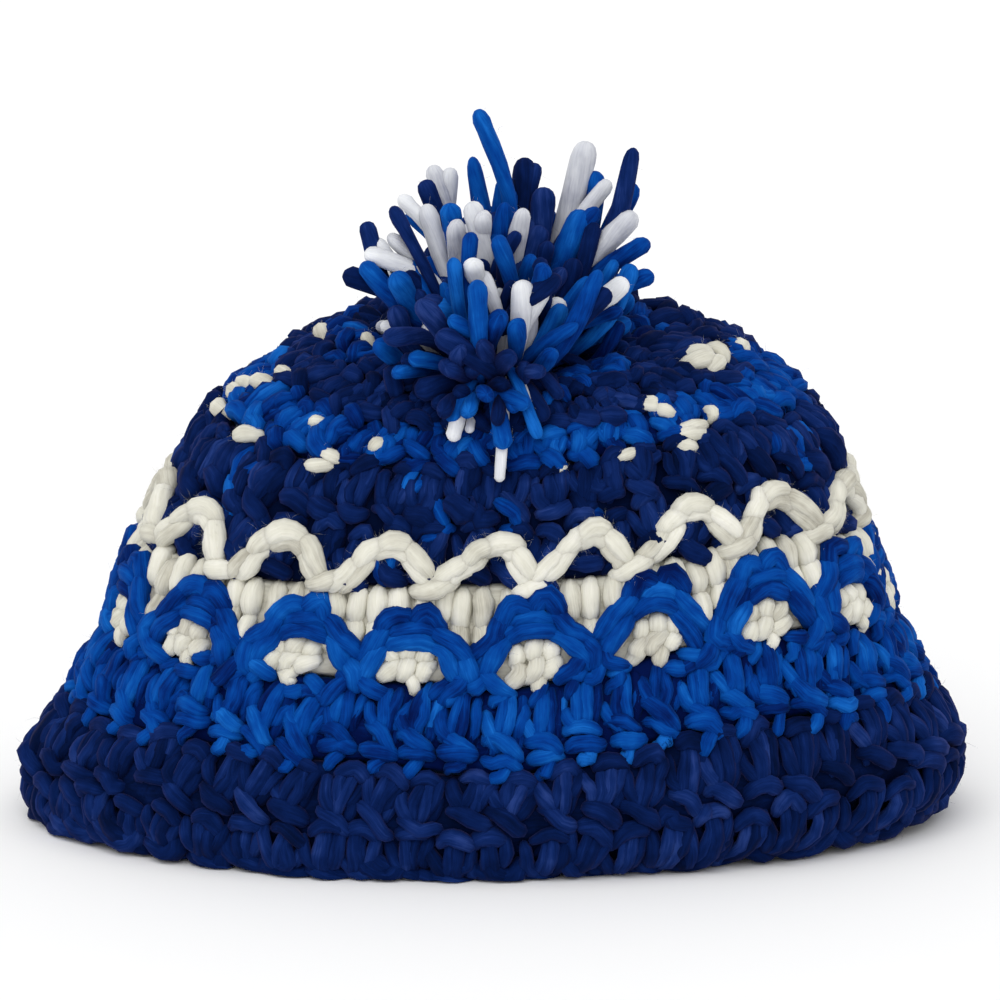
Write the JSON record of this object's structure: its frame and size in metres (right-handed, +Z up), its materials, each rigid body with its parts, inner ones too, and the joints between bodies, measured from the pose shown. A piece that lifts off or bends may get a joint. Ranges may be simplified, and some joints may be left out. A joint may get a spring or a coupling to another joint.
{
  "type": "crocheted bobble hat",
  "caption": "Bulky crocheted bobble hat in navy, royal blue and cream, with chains of yarn arches round its band and a pompom of cut yarn, standing on its rim.",
  "frame": {"origin": "on the floor, in the middle of the hat's outline seen from above", "axes": "+Z up, +X to the right as seen from the front, -Y towards the front; metres"},
  "size_m": [0.241, 0.1371, 0.1885],
  "materials": {
    "navy_yarn": "matt, slightly hairy roving yarn",
    "royal_yarn": "matt with a faint sheen, slubby roving yarn",
    "cream_yarn": "matt, soft roving yarn",
    "pompom_yarn": "cut yarn in royal blue, navy and white, soft and a little hairy"
  },
  "bodies": {
    "root": {"rim_rounds": "navy_yarn", "royal_round": "royal_yarn", "cream_round": "cream_yarn", "cream_arches": "cream_yarn", "navy_rounds": "navy_yarn", "upper_royal_round": "royal_yarn", "crown": "navy_yarn", "pompom": "pompom_yarn", "pompom_tie": "navy_yarn"}
  },
  "joints": []
}
